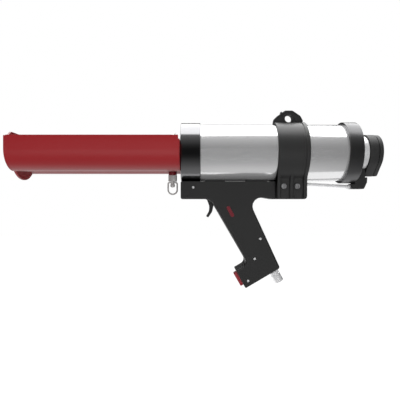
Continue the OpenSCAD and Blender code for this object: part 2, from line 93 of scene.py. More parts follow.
class Shader:
    def __init__(self, name, **constants):
        self.material = bpy.data.materials.new(name)
        self.material.use_nodes = True
        self.tree = self.material.node_tree
        self.tree.nodes.clear()
        self.surface = self.tree.nodes.new("ShaderNodeBsdfPrincipled")
        result = self.tree.nodes.new("ShaderNodeOutputMaterial")
        self.tree.links.new(self.surface.outputs[0], result.inputs[0])
        self.coords = self.node("ShaderNodeTexCoord", {}, {}, "Object")
        for key, value in constants.items():
            self.surface.inputs[key.replace("_", " ")].default_value = value

    def node(self, kind, settings, inputs, output=0):
        made = self.tree.nodes.new(kind)
        for key, value in settings.items():
            if key == "stops":
                ramp = made.color_ramp
                while len(ramp.elements) < len(value):
                    ramp.elements.new(0.5)
                for stop, (place, shade) in zip(ramp.elements, value):
                    stop.position = place
                    stop.color = (shade, shade, shade, 1)
            else:
                setattr(made, key, value)
        for key, value in inputs.items():
            self.join(value, made.inputs[key])
        return Link(self, made.outputs[output])

    def join(self, value, socket):
        if isinstance(value, Link):
            self.tree.links.new(value.socket, socket)
        elif isinstance(value, tuple) and len(value) == 3 and socket.type == "RGBA":
            socket.default_value = (*value, 1)
        else:
            socket.default_value = value

    def set(self, key, value):
        self.join(value, self.surface.inputs[key])

    def stretched(self, scale):
        return self.node("ShaderNodeMapping", {}, {"Vector": self.coords, "Scale": scale})

    def noise(self, scale, detail=3.0, roughness=0.5, vector=None):
        return self.node("ShaderNodeTexNoise", {}, {
            "Vector": vector or self.coords, "Scale": scale, "Detail": detail, "Roughness": roughness})

    def cells(self, scale):
        return self.node("ShaderNodeTexVoronoi", {}, {"Vector": self.coords, "Scale": scale})

    def ramp(self, value, stops):
        return self.node("ShaderNodeValToRGB", {"stops": stops}, {"Fac": value})

    def blend(self, factor, a, b):
        return self.node("ShaderNodeMix", {"data_type": "RGBA"}, {0: factor, 6: a, 7: b}, 2)

    def bump(self, height, strength, distance):
        self.set("Normal", self.node("ShaderNodeBump", {}, {
            "Height": height, "Strength": strength, "Distance": distance}))


# A darker or lighter form of a colour
def tinted(colour, share):
    return tuple(min(1.0, part * share) for part in colour)


# Finishes: one for each material slot, and two duller ones for small pieces
def brushedTubeFinish(name, colour, metallic, rough):
    s = Shader(name, Metallic=metallic)
    lines = s.noise(900, 4, 0.6, s.stretched((0.02, 1, 1)))
    rings = s.noise(700, 3, 0.5, s.stretched((1, 0.03, 0.03)))
    clouds = s.noise(16, 3)
    s.set("Base Color", s.blend(clouds, tinted(colour, 0.97), tinted(colour, 1.03)))
    s.set("Roughness", rough - 0.05 + lines * 0.06 + clouds * 0.04)
    s.bump(lines * 0.7 + rings * 0.3, 0.08, 0.0001)
    return s.material


def capFinish(name, colour, metallic, rough, specular):
    s = Shader(name, Metallic=metallic, Specular_IOR_Level=specular)
    rings = s.noise(600, 3, 0.5, s.stretched((1, 0.02, 0.02)))
    clouds = s.noise(30, 4)
    s.set("Base Color", s.blend(clouds, tinted(colour, 0.92), tinted(colour, 1.08)))
    s.set("Roughness", rough - 0.04 + clouds * 0.05 + rings * 0.03)
    s.bump(rings, 0.05, 0.0001)
    return s.material


def powderRedFinish(name, colour, rough):
    s = Shader(name, Specular_IOR_Level=0.38)
    peel = s.noise(420, 2, 0.45)
    grain = s.noise(2600, 2)
    clouds = s.noise(9, 4)
    scuffs = s.ramp(s.noise(60, 8, 0.7, s.stretched((0.25, 1, 1))), [(0.0, 0), (0.64, 0), (0.78, 1)])
    shade = s.blend(clouds, tinted(colour, 0.95), tinted(colour, 1.05))
    s.set("Base Color", s.blend(scuffs * 0.08, shade, tinted(colour, 1.5)))
    s.set("Roughness", rough - 0.04 + clouds * 0.06 + scuffs * 0.1)
    s.bump(peel * 0.8 + grain * 0.2, 0.06, 0.0004)
    return s.material


def mouldedFinish(name, colour, rough, grain, specular=0.5):
    s = Shader(name, Specular_IOR_Level=specular)
    pits = s.cells(1900)
    soft = s.noise(1100, 3, 0.6)
    clouds = s.noise(22, 4)
    s.set("Base Color", s.blend(clouds, tinted(colour, 0.94), tinted(colour, 1.06)))
    s.set("Roughness", rough - 0.04 + clouds * 0.06 + soft * 0.03)
    s.bump(pits * 0.6 + soft * 0.4, grain, 0.00016)
    return s.material


def platedFinish(name, colour, rough, metallic=1.0):
    s = Shader(name, Metallic=metallic)
    swirl = s.noise(240, 5, 0.6)
    s.set("Base Color", s.blend(swirl, tinted(colour, 0.93), tinted(colour, 1.05)))
    s.set("Roughness", rough - 0.05 + swirl * 0.10)
    s.bump(s.noise(1600, 3), 0.05, 0.0001)
    return s.material


def rubberFinish(name, colour):
    s = Shader(name, Roughness=0.7)
    s.set("Base Color", s.blend(s.noise(120, 5), tinted(colour, 0.8), tinted(colour, 1.5)))
    s.bump(s.noise(900, 3), 0.2, 0.0002)
    return s.material


def sinteredFinish(name, colour):
    s = Shader(name, Metallic=0.8)
    grains = s.cells(1500)
    s.set("Base Color", s.blend(grains, tinted(colour, 1.2), tinted(colour, 0.5)))
    s.set("Roughness", 0.5 + grains * 0.3)
    s.bump(1 - grains, 0.7, 0.0004)
    return s.material


finishes = {
    "brushed_tube": brushedTubeFinish("brushedTube", (0.70, 0.70, 0.705), 0.8, 0.17),
    "gloss_black_cap": capFinish("glossBlackCap", (0.20, 0.20, 0.205), 1.0, 0.16, 0.5),
    "grey_cap": capFinish("greyCap", (0.095, 0.095, 0.097), 0.93, 0.31, 0.5),
    "red_steel": powderRedFinish("redPowderCoat", (0.155, 0.0085, 0.0105), 0.34),
    "dark_red_steel": powderRedFinish("redBoss", (0.06, 0.003, 0.005), 0.45),
    "black_plastic": mouldedFinish("blackPlastic", (0.0125, 0.0125, 0.0125), 0.5, 0.2, 0.4),
    "strap_plastic": mouldedFinish("strapPlastic", (0.0135, 0.0135, 0.0135), 0.40, 0.12, 0.4),
    "red_plastic": mouldedFinish("redPlastic", (0.16, 0.010, 0.016), 0.35, 0.05),
    "white_plastic": mouldedFinish("whitePlastic", (0.72, 0.72, 0.70), 0.45, 0.08),
    "zinc_steel": platedFinish("zincSteel", (0.50, 0.50, 0.505), 0.36, 0.5),
    "polished_steel": platedFinish("polishedSteel", (0.74, 0.74, 0.75), 0.16, 0.6),
    "dark_steel": platedFinish("darkSteel", (0.20, 0.20, 0.205), 0.38, 0.6),
    "spring_steel": platedFinish("springSteel", (0.50, 0.50, 0.52), 0.3),
    "brass": platedFinish("brass", (0.60, 0.42, 0.17), 0.28),
    "bronze": sinteredFinish("sinteredBronze", (0.40, 0.26, 0.12)),
    "rubber": rubberFinish("rubber", (0.018, 0.018, 0.018)),
    "hose_plastic": mouldedFinish("hosePlastic", (0.04, 0.09, 0.22), 0.25, 0.02),
    "dulled_steel": platedFinish("dulledSteel", (0.36, 0.35, 0.345), 0.34, 0.55),
    "smoked_red": mouldedFinish("smokedRed", (0.075, 0.006, 0.010), 0.35, 0.05),
}
print("finishes made:", len(finishes))


# Mesh building, in millimetres
# A place whose own Z axis runs along the direction
def aim(origin, direction):
    turn = Vector(direction).to_track_quat("Z", "Y").to_matrix().to_4x4()
    turn.translation = Vector(origin)
    return turn


# An outline's two numbers and its height, as x, y and z
def sideways(a, b, c):
    return (a, c, b)


def endways(a, b, c):
    return (c, a, b)


# A skin over a row of rings; a ring of one point closes to a tip
def loft(mesh, rings, wrap=False, caps=True):
    rows = [[mesh.verts.new(point) for point in ring] for ring in rings]
    for a, b in zip(rows, rows[1:] + rows[:1] if wrap else rows[1:]):
        count = max(len(a), len(b))
        for i in range(count):
            j = (i + 1) % count
            if len(a) == 1:
                mesh.faces.new((a[0], b[j], b[i]))
            elif len(b) == 1:
                mesh.faces.new((a[i], a[j], b[0]))
            else:
                mesh.faces.new((a[i], a[j], b[j], b[i]))
    if caps and not wrap:
        for row in (rows[0], rows[-1]):
            if len(row) > 2:
                mesh.faces.new(row)
    return mesh


# Rounds each corner that has a third number, its radius
def soften(points, closed=True, steps=5):
    out = []
    for i, point in enumerate(points):
        here = Vector(point[:2])
        radius = point[2] if len(point) > 2 else 0
        if radius <= 0 or (not closed and i in (0, len(points) - 1)):
            out.append((here.x, here.y))
            continue
        u = (Vector(points[i - 1][:2]) - here).normalized()
        w = (Vector(points[(i + 1) % len(points)][:2]) - here).normalized()
        half = u.angle(w) / 2
        centre = here + (u + w).normalized() * radius / math.sin(half)
        start = here + u * radius / math.tan(half) - centre
        end = here + w * radius / math.tan(half) - centre
        first = math.atan2(start.y, start.x)
        turn = (math.atan2(end.y, end.x) - first + 3 * math.pi) % (2 * math.pi) - math.pi
        for k in range(steps + 1):
            angle = first + turn * k / steps
            out.append((centre.x + radius * math.cos(angle), centre.y + radius * math.sin(angle)))
    return out


def around(place, along, radius, count):
    turns = [math.tau * i / count for i in range(count)]
    return [place @ Vector((radius * math.cos(turn), radius * math.sin(turn), along)) for turn in turns]


def lathe(mesh, place, profile, count=96):
    rings = [around(place, along, radius, count) if radius >= 1e-6 else [place @ Vector((0, 0, along))]
             for along, radius in profile]
    return loft(mesh, rings, wrap=profile[0][1] > 1e-6)


def ringProfile(low, high, outer, inner, edge=0.4, steps=4):
    corners = [(low, inner, edge / 2), (low, outer, edge), (high, outer, edge), (high, inner, edge / 2)]
    return soften(corners, True, steps)


def rodProfile(low, high, radius, edge=0.4, steps=4):
    return soften([(low, 0), (low, radius, edge), (high, radius, edge), (high, 0)], False, steps)


# A plain round bar, used as a cutter
def drill(place, low, high, radius, count=32):
    return lathe(bmesh.new(), place, rodProfile(low, high, radius, 0), count)


def box(mesh, low, high, place=None):
    place = place or Matrix()
    base = ((low[0], low[1]), (high[0], low[1]), (high[0], high[1]), (low[0], high[1]))
    return loft(mesh, [[place @ Vector((x, y, z)) for x, y in base] for z in (low[2], high[2])])


# Moves a fine outline's points inwards
def shrink(points, depth):
    out = []
    area = sum(points[i - 1][0] * points[i][1] - points[i][0] * points[i - 1][1] for i in range(len(points)))
    hand = 1 if area > 0 else -1
    for i, point in enumerate(points):
        here = Vector(point)
        u = (here - Vector(points[i - 1])).normalized()
        w = (Vector(points[(i + 1) % len(points)]) - here).normalized()
        normal = Vector((-u.y - w.y, u.x + w.x)).normalized() * hand
        spread = max(0.35, Vector((-u.y, u.x)).dot(normal) * hand)
        out.append(tuple(here + normal * depth / spread))
    return out


# Moves the edges between corners inwards, then rounds the new corners
def insetCorners(corners, depth):
    count = len(corners)
    area = sum(corners[i - 1][0] * corners[i][1] - corners[i][0] * corners[i - 1][1] for i in range(count))
    hand = 1 if area > 0 else -1
    edges, out = [], []
    for i in range(count):
        a, b = Vector(corners[i][:2]), Vector(corners[(i + 1) % count][:2])
        way = (b - a).normalized()
        edges.append((a + Vector((-way.y, way.x)) * hand * depth, way))
    for i, corner in enumerate(corners):
        (p, u), (q, w) = edges[i - 1], edges[i]
        cross = u.x * w.y - u.y * w.x
        along = ((q - p).x * w.y - (q - p).y * w.x) / cross
        radius = max(0.06, corner[2] - depth) if cross * hand > 0 else corner[2] + depth
        out.append((*(p + u * along), radius))
    return soften(out)


# A plate of an outline, with both rims rounded
def slab(mesh, points, low, high, way, lowEdge=0.6, highEdge=0.6, steps=4):
    inset = shrink if len(points[0]) == 2 else insetCorners
    turns = [math.pi / 2 * k / steps for k in range(steps + 1)]
    falling = [math.pi / 2 * (1 - k / steps) for k in range(steps + 1)]
    levels = [(low, lowEdge + 0.5)]
    levels += [(low + lowEdge * (1 - math.sin(t)), lowEdge * (1 - math.cos(t))) for t in falling]
    levels += [(high - highEdge * (1 - math.sin(t)), highEdge * (1 - math.cos(t))) for t in turns]
    levels += [(high, highEdge + 0.5)]
    return loft(mesh, [[way(a, b, height) for a, b in inset(points, depth)] for height, depth in levels])


def toData(mesh, name):
    bmesh.ops.recalc_face_normals(mesh, faces=mesh.faces)
    data = bpy.data.meshes.new(name)
    mesh.to_mesh(data)
    mesh.free()
    return data


def placed(name, data):
    obj = bpy.data.objects.new(name, data)
    bpy.context.scene.collection.objects.link(obj)
    return obj


# The object's mesh with its modifiers applied
def baked(obj):
    bpy.context.view_layer.update()
    graph = bpy.context.evaluated_depsgraph_get()
    return bpy.data.meshes.new_from_object(obj.evaluated_get(graph), depsgraph=graph)


def discard(*objects):
    for obj in objects:
        old = obj.data
        bpy.data.objects.remove(obj)
        bpy.data.meshes.remove(old)


def carve(mesh, *tools):
    body = placed("carved", toData(mesh, "carved"))
    helpers = [placed("tool", toData(tool, "tool")) for tool in tools]
    for helper in helpers:
        cutter = body.modifiers.new("cut", "BOOLEAN")
        cutter.operation = "DIFFERENCE"
        cutter.solver = "EXACT"
        cutter.object = helper
    data = baked(body)
    discard(body, *helpers)
    result = bmesh.new()
    result.from_mesh(data)
    bpy.data.meshes.remove(data)
    return result


# Brings a mesh to metres and its place, then says what it is and what it rides on
def settle(name, data, body, slotName, nodes, angle=34, finish=None):
    data.name = name
    data.transform(Matrix.Translation(zero) @ Matrix.Scale(mm, 4))
    data.materials.clear()
    data.materials.append(finishes[finish or slotName])
    data.shade_smooth()
    data.set_sharp_from_angle(angle=math.radians(angle))
    obj = placed(name, data)
    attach(obj, body)
    if nodes:
        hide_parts(*nodes)
    return obj


def piece(name, mesh, body, slotName, *nodes, angle=34, finish=None):
    return settle(name, toData(mesh, name), body, slotName, nodes, angle, finish)


# The tree that puts copies of one part on a set of points
class Growth:
    def __init__(self, name, inputs):
        self.group = bpy.data.node_groups.new(name, "GeometryNodeTree")
        self.group.interface.new_socket("Geometry", in_out="OUTPUT", socket_type="NodeSocketGeometry")
        self.ids = {label: self.group.interface.new_socket(label, in_out="INPUT", socket_type=kind).identifier
                    for label, kind in inputs.items()}
        self.given = self.group.nodes.new("NodeGroupInput")
        self.result = self.group.nodes.new("NodeGroupOutput")

    def add(self, kind, settings, inputs, output=0):
        made = self.group.nodes.new(kind)
        for key, value in settings.items():
            setattr(made, key, value)
        for key, value in inputs.items():
            if isinstance(value, str):
                value = self.given.outputs[value]
            if isinstance(value, bpy.types.NodeSocket):
                self.group.links.new(value, made.inputs[key])
            else:
                made.inputs[key].default_value = value
        return made.outputs[output]

    def end(self, geometry):
        solid = self.add("GeometryNodeRealizeInstances", {}, {0: geometry})
        painted = self.add("GeometryNodeSetMaterial", {}, {"Geometry": solid, "Material": "Material"})
        self.group.links.new(painted, self.result.inputs[0])

    def run(self, base, values):
        obj = placed("growth", base)
        modifier = obj.modifiers.new("growth", "NODES")
        modifier.node_group = self.group
        for label, value in values.items():
            modifier[self.ids[label]] = value
        data = baked(obj)
        discard(obj)
        return data


def pointCloud(points):
    data = bpy.data.meshes.new("points")
    data.from_pydata(points, [], [])
    return data


repeatTree = Growth("repeats", {"Spots": "NodeSocketGeometry", "Part": "NodeSocketObject",
                                "Turn": "NodeSocketVector", "Material": "NodeSocketMaterial"})


def buildRepeatTree():
    tree = repeatTree
    part = tree.add("GeometryNodeObjectInfo", {}, {"Object": "Part"}, "Geometry")
    spots = tree.add("GeometryNodeMeshToPoints", {}, {"Mesh": "Spots"})
    copies = tree.add("GeometryNodeInstanceOnPoints", {}, {
        "Points": spots, "Instance": part, "Rotation": "Turn"})
    tree.end(copies)


def repeated(spots, part, turn, material):
    template = placed("template", toData(part, "template"))
    data = repeatTree.run(pointCloud(spots), {"Part": template, "Turn": turn, "Material": material})
    discard(template)
    return data


# Cylinder and its caps
alongX = aim((0, 0, 0), (1, 0, 0))
upwards = aim((0, 0, 0), (0, 0, 1))
lobeY, lobeOuter, lobeInner = 33.2, 33.2, 31.7
sides = (-1, 1)
boltX, boltZ = (136.6, 158.6), -57


def lobePlace(side):
    return aim((0, side * lobeY, 0), (1, 0, 0))


def buildCylinder():
    sizes = {"outer": 47.3, "inner": 44.3, "front": -14, "back": 247, "edge": 0.4}
    profile = ringProfile(sizes["front"], sizes["back"], sizes["outer"], sizes["inner"], sizes["edge"], 2)
    piece("barrelTube", lathe(bmesh.new(), alongX, profile, 256), "gun", "brushed_tube", "barrel_tube")


def buildFrontCap():
    sizes = {"outer": 50, "front": -31.5, "back": 0.5, "edge": 1.2, "lip": 0.7, "seat": 47.35,
             "seatFront": -14, "chamber": 44.2, "floor": -6, "rodHole": 8.02}
    seat, chamber = sizes["seat"], sizes["chamber"]
    profile = soften([(sizes["front"], 0), (sizes["front"], sizes["outer"], sizes["edge"]),
                      (sizes["back"], sizes["outer"], sizes["lip"]), (sizes["back"], seat, 0.3),
                      (sizes["seatFront"], seat), (sizes["seatFront"], chamber), (sizes["floor"], chamber, 1),
                      (sizes["floor"], 0)], False, 6)
    holes = [drill(lobePlace(side), -40, 10, sizes["rodHole"], 64) for side in sides]
    cap = carve(lathe(bmesh.new(), alongX, profile, 256), *holes)
    piece("frontCap", cap, "gun", "gloss_black_cap", "front_cap")


def buildRearCap():
    sizes = {"outer": 51.4, "front": 237, "back": 259, "frontEdge": 0.8, "backEdge": 1.2, "seat": 47.35,
             "seatBack": 247, "chamber": 44.2, "floor": 239, "bore": 12.02}
    seat, chamber = sizes["seat"], sizes["chamber"]
    profile = soften([(sizes["front"], seat, 0.2), (sizes["front"], sizes["outer"], sizes["frontEdge"]),
                      (sizes["back"], sizes["outer"], sizes["backEdge"]), (sizes["back"], sizes["bore"]),
                      (sizes["floor"], sizes["bore"]), (sizes["floor"], chamber),
                      (sizes["seatBack"], chamber), (sizes["seatBack"], seat)], True, 5)
    piece("rearCap", lathe(bmesh.new(), alongX, profile, 256), "gun", "grey_cap", "rear_cap")


def buildCollar():
    sizes = {"outer": 28.5, "front": 259.02, "back": 276.8, "bore": 7.02, "boreFront": 270.8}
    profile = soften([(sizes["front"], 0), (sizes["front"], sizes["outer"], 0.3),
                      (sizes["back"], sizes["outer"], 0.8), (sizes["back"], sizes["bore"], 0.2),
                      (sizes["boreFront"], sizes["bore"]), (sizes["boreFront"], 0)], False, 5)
    piece("rearCollar", lathe(bmesh.new(), alongX, profile, 192), "gun", "zinc_steel", "rear_collar")


# Knob
# A circle that runs down to a narrow lug
def pearOutline(radius, low, reach, corner, count=72):
    distance = math.hypot(reach, low)
    opening = math.acos(radius / distance)
    right = math.atan2(-low, reach) + opening
    span = math.tau - 2 * (right + math.pi / 2)
    arc = [(radius * math.cos(right + span * i / count), radius * math.sin(right + span * i / count))
           for i in range(count + 1)]
    corners = [(-reach, -low, corner), (reach, -low, corner)]
    return soften([(x, z, 0) for x, z in arc] + corners, True, 5)


def buildKnob():
    sizes = {"radius": 30.6, "low": 39.6, "reach": 4, "corner": 1.6, "front": 277.2, "groove": 291.4,
             "capFront": 292.5, "back": 299.3, "neck": 20, "socket": 6, "socketFront": 296}
    outline = pearOutline(sizes["radius"], sizes["low"], sizes["reach"], sizes["corner"])
    knob = slab(bmesh.new(), outline, sizes["front"], sizes["groove"], endways, 0.5, 0.3)
    piece("knob", knob, "knob", "black_plastic", "knob", "regulator_spindle")
    capOutline = pearOutline(sizes["radius"] - 0.4, sizes["low"] - 0.3, sizes["reach"] - 0.3, 2.0)
    cap = slab(bmesh.new(), capOutline, sizes["capFront"], sizes["back"], endways, 0.4, 1.6, 6)
    cap = carve(cap, drill(alongX, sizes["socketFront"], 301, sizes["socket"], 64))
    lathe(cap, alongX, rodProfile(sizes["groove"] + 0.1, sizes["capFront"] + 0.1, sizes["neck"], 0), 64)
    piece("knobCap", cap, "knob", "black_plastic", "knob_cap")


# Elbow, air tube and its nut
def buildElbow():
    sizes = {"half": 10, "edge": 1.4, "collar": 28.55, "headHole": 2.4, "headY": 7.5, "headZ": -48,
             "headFront": 270.1, "tubeHole": 2.85}
    corners = [(255, -52.2, 0.3), (255, -61, 1.4), (275, -61, 2.4), (280.5, -49, 3), (280.5, -41.4, 1),
               (276.6, -41.4, 0.1), (276.6, -24, 0.3), (259.03, -24, 0.3), (259.03, -52.2, 0.3)]
    elbow = slab(bmesh.new(), corners, -sizes["half"], sizes["half"], sideways, sizes["edge"], sizes["edge"])
    collar = drill(alongX, 250, 283, sizes["collar"], 192)
    heads = [drill(aim((0, side * sizes["headY"], sizes["headZ"]), (1, 0, 0)), sizes["headFront"], 283,
                   sizes["headHole"]) for side in sides]
    socket = drill(aim((250, 0, -56.85), (89, 0, -5.4)), -2, 8, sizes["tubeHole"])
    piece("rearElbow", carve(elbow, collar, socket, *heads), "gun", "black_plastic", "rear_elbow")


def buildAirTube():
    sizes = {"radius": 2.8, "bore": 1.8, "from": (171.6, 0, -52.1), "to": (259, 0, -57.4), "nut": 3.4,
             "nutBore": 2.82, "nutFrom": 10, "nutTo": 4.3}
    start, end = Vector(sizes["from"]), Vector(sizes["to"])
    length = (end - start).length
    place = aim(start, end - start)
    tube = lathe(bmesh.new(), place, ringProfile(0, length, sizes["radius"], sizes["bore"], 0.3, 2), 48)
    piece("airTube", tube, "gun", "polished_steel", "air_tube")
    nutFrom, nutTo = length - sizes["nutFrom"], length - sizes["nutTo"]
    nutProfile = ringProfile(nutFrom, nutTo, sizes["nut"], sizes["nutBore"], 0.3, 3)
    piece("tubeNut", lathe(bmesh.new(), place, nutProfile, 32), "gun", "zinc_steel", "tube_nut")


# Carrier
# The bent sheet's section: two round lobes that meet in a ridge, and upright walls
def troughSection(top):
    wallLow, ridgeOuter, ridgeInner, steps = 8, 8.4, 3.2, 32
    outerEnd = math.tau - math.asin(ridgeOuter / lobeOuter)
    innerEnd = math.tau - math.asin(ridgeInner / lobeInner)
    outer = [(-66.4, top - 0.5), (-66.4, wallLow)]
    inner = [(-64.9, top - 0.5), (-64.9, wallLow)]
    for i in range(steps + 1):
        a = math.pi + (outerEnd - math.pi) * (i / steps)
        b = math.pi + (innerEnd - math.pi) * (i / steps)
        outer.append((-lobeY + lobeOuter * math.cos(a), lobeOuter * math.sin(a)))
        inner.append((-lobeY + lobeInner * math.cos(b), lobeInner * math.sin(b)))
    outer.append((-0.5, -8.9))
    inner += [(-1.35, -1.2), (-0.8, -0.3)]
    lip = [(66.3, top - 0.1), (66.15, top), (65.15, top), (65.0, top - 0.1)]
    across = outer + [(-y, z) for y, z in reversed(outer)] + lip
    inside = [(-y, z) for y, z in inner] + list(reversed(inner))
    return across + inside + [(-y, z) for y, z in reversed(lip)]


def buildTrough():
    sizes = {"front": -298, "back": -33.5, "top": 20.6, "corner": 1}
    stations = [sizes["front"], sizes["front"] + 1] + [sizes["front"] + 24 * k for k in range(1, 11)]
    stations += [sizes["back"] - sizes["corner"] * math.cos(math.pi / 2 * k / 8) for k in range(9)]
    rings = []
    for x in stations:
        over = max(0, x - (sizes["back"] - sizes["corner"]))
        top = sizes["top"] - sizes["corner"] + math.sqrt(max(0, sizes["corner"] ** 2 - over ** 2))
        rings.append([(x, y, z) for y, z in troughSection(top)])
    piece("carrierTrough", loft(bmesh.new(), rings), "gun", "red_steel", "carrier_trough", angle=40)


def arcPoints(y, z, radius, first, last, count):
    turns = [math.radians(first + (last - first) * i / count) for i in range(count + 1)]
    return [(y + radius * math.cos(turn), z + radius * math.sin(turn)) for turn in turns]


def buildFrontPlate():
    sizes = {"front": -301.5, "back": -298.02, "tab": 45.7, "tabHalf": 36, "slot": 18, "top": 28.5,
             "side": 66.4, "ear": 20}
    side, slot, top, ear = sizes["side"], sizes["slot"], sizes["top"], sizes["ear"]
    tabFrom = math.degrees(math.acos(sizes["tabHalf"] / sizes["tab"]))
    left = [(-side, ear, 1), (-side, 0, 0)] + arcPoints(-lobeY, 0, lobeOuter, 184, 264, 20)
    tab = arcPoints(0, 0, sizes["tab"], 180 + tabFrom, 360 - tabFrom, 28)
    right = arcPoints(lobeY, 0, lobeOuter, 276, 356, 20) + [(side, 0, 0), (side, ear, 1)]
    upper = [(57, 21, 2), (46, top, 3), (slot, top, 2.5), (slot, 0, 0)] + arcPoints(0, 0, slot, -4, -176, 24)
    upper += [(-slot, 0, 0), (-slot, top, 2.5), (-46, top, 3), (-57, 21, 2)]
    outline = soften([p if len(p) == 3 else (*p, 0) for p in left + tab + right + upper], True, 4)
    plate = slab(bmesh.new(), outline, sizes["front"], sizes["back"], endways, 0.7, 0.5)
    piece("frontPlate", plate, "gun", "red_steel", "front_plate")


def buildRearPlate():
    sizes = {"front": -33.48, "back": -31.52, "side": 66.4, "ear": 15, "rodHole": 9}
    lobeArc = arcPoints(-lobeY, 0, lobeOuter, 180, 339, 30)
    outline = [(-sizes["side"], sizes["ear"], 1.5), *[(*p, 0) for p in lobeArc], (-2.2, -12.6, 0)]
    mirrored = [(-p[0], p[1], p[2]) for p in reversed(outline)]
    outline = soften(outline + mirrored, True, 4)
    plate = slab(bmesh.new(), outline, sizes["front"], sizes["back"], endways, 0.3, 0.3, 2)
    holes = [drill(lobePlace(side), -40, -25, sizes["rodHole"], 64) for side in sides]
    piece("rearPlate", carve(plate, *holes), "gun", "red_steel", "rear_plate")


# Carrier lock
lockX, ringTurn = -46.4, math.radians(12)


def buildBoss(upright):
    boss = lathe(bmesh.new(), upright, rodProfile(-37.3, -10.4, 7, 0.5), 64)
    lobes = [drill(lobePlace(side), -70, -20, 33.22, 160) for side in sides]
    tongue = box(bmesh.new(), (-60, -4.3, -30.3), (-30, 4.3, -21.7))
    bore = drill(upright, -40, -18, 3.1)
    piece("lockBoss", carve(boss, *lobes, tongue, bore), "gun", "dark_red_steel", "plunger_boss")
    turnedBush = upright @ Matrix.Rotation(math.radians(21), 4, "Z")
    bush = lathe(bmesh.new(), turnedBush, ringProfile(-48.2, -37.42, 7.6, 3.1, 0.5, 3), 6)
    piece("lockBush", bush, "gun", "zinc_steel", "plunger_bush", finish="dulled_steel")


def buildRing(turned):
    sizes = {"half": 7.7, "bend": 2.5, "top": -50, "low": -62.2, "wire": 1.3, "around": 20}
    half, bend, wire, count = sizes["half"], sizes["bend"], sizes["wire"], sizes["around"]
    path = arcPoints(0, sizes["low"], half, 180, 360, 32)
    path += arcPoints(half - bend, sizes["top"] - bend, bend, 0, 90, 8)
    path += arcPoints(bend - half, sizes["top"] - bend, bend, 90, 180, 8)
    rings = []
    for i, (x, z) in enumerate(path):
        before, after = Vector(path[i - 1]), Vector(path[(i + 1) % len(path)])
        way = (after - before).normalized()
        rings.append([turned @ Vector((x - way.y * wire * math.cos(t), wire * math.sin(t),
                                       z + way.x * wire * math.cos(t)))
                      for t in [math.tau * k / count for k in range(count)]])
    ring = loft(bmesh.new(), rings, wrap=True)
    piece("pullRing", ring, "pull_ring", "polished_steel", "pull_ring", finish="dulled_steel")


def buildLock():
    upright = aim((lockX, 0, 0), (0, 0, 1))
    turned = upright @ Matrix.Rotation(ringTurn, 4, "Z")
    buildBoss(upright)
    profile = soften([(-58.3, 0), (-58.3, 2.2, 1.2), (-56.6, 3.9, 1.8), (-53.6, 3.9, 1.5), (-52, 3, 0.8),
                      (-25.5, 3, 0.8), (-25.5, 0)], False, 5)
    crossHole = drill(turned @ aim((0, 0, -50), (1, 0, 0)), -6, 6, 1.5)
    pin = carve(lathe(bmesh.new(), upright, profile, 64), crossHole)
    piece("lockPin", pin, "lock_pin", "polished_steel", "lock_pin", finish="dulled_steel")
    buildRing(turned)


# Casing: each corner is x, z, its radius and how far its next edge is rounded
casingOutline = [(-32, -48.5, 3, 1.6), (-32, -78.1, 3, 2.6), (9, -78.1, 8, 3.2), (14, -79.8, 2, 3.6),
                 (20, -83, 1, 4.6), (78.9, -184.8, 9, 2.2), (59.2, -196.4, 1.5, 1.4), (75.2, -225.3, 2, 1.8),
                 (132.5, -191.6, 4, 4.4), (79.1, -75.8, 14.3, 3.2), (106, -75.6, 10, 2.6),
                 (120, -78.1, 10, 2.4),
                 (175, -78.1, 3, 2), (175, -48.5, 1.5, 0.8)]
screwSpots = [(-11.2, -58.6), (99.5, -143.4), (90.1, -176.5), (79.4, -212.8)]
casingHalf, casingWall = 21, 2.6
inlaySpan = ((46.7, -92.3), (53.4, -104.6))


# Moves each edge in by its own depth, and gives each point's share of the two edges' rounding
def insetCasing(depth):
    corners = casingOutline
    out = []
    edges = []
    for i, corner in enumerate(corners):
        a, b = Vector(corner[:2]), Vector(corners[(i + 1) % len(corners)][:2])
        way = (b - a).normalized()
        edges.append((a + Vector((-way.y, way.x)) * depth(corner[3]), way, corner[3]))
    for i, corner in enumerate(corners):
        p, u, first = edges[i - 1]
        q, w, second = edges[i]
        cross = u.x * w.y - u.y * w.x
        along = ((q - p).x * w.y - (q - p).y * w.x) / cross
        mean = (depth(first) + depth(second)) / 2
        radius = max(0.08, corner[2] - mean) if cross > 0 else corner[2] + mean
        out.append((*(p + u * along), radius))
    shares = []
    for i, corner in enumerate(corners):
        first, second = edges[i - 1][2], edges[i][2]
        shares += [first + (second - first) * k / 5 for k in range(6)]
    return soften(out, True, 5), shares


def halfShell(side):
    half, wall, turns = casingHalf, casingWall, 6
    rings = []
    hollow = ((lambda e: wall, half - wall), (lambda e: wall, 0.0), (lambda e: 0.3, 0.0), (lambda e: 0.0, 0.3))
    for depth, y in hollow:
        rings.append([(x, side * y, z) for x, z in insetCasing(depth)[0]])
    for k in range(turns + 1):
        t = math.pi / 2 * k / turns
        points, shares = insetCasing(lambda e: e * (1 - math.cos(t)))
        rings.append([(x, side * (half - e * (1 - math.sin(t))), z) for (x, z), e in zip(points, shares)])
    rings.append([(x, side * half, z) for x, z in insetCasing(lambda e: e + 0.6)[0]])
    return loft(bmesh.new(), rings)


toePlace = Matrix.Translation((60.7, 0, -200.8)) @ Matrix.Rotation(math.radians(150), 4, "Y")
inletPlace = Matrix.Translation((134.6, 0, -217.4)) @ Matrix.Rotation(math.radians(150), 4, "Y")
mufflerPlace = Matrix.Translation((98, 0, -211.2)) @ Matrix.Rotation(math.radians(150.8), 4, "Y")


def stadium(a, b, radius, count=10):
    turn = math.degrees(math.atan2(b[1] - a[1], b[0] - a[0]))
    first = arcPoints(*a, radius, turn + 90, turn + 270, count)
    return first + arcPoints(*b, radius, turn - 90, turn + 90, count)


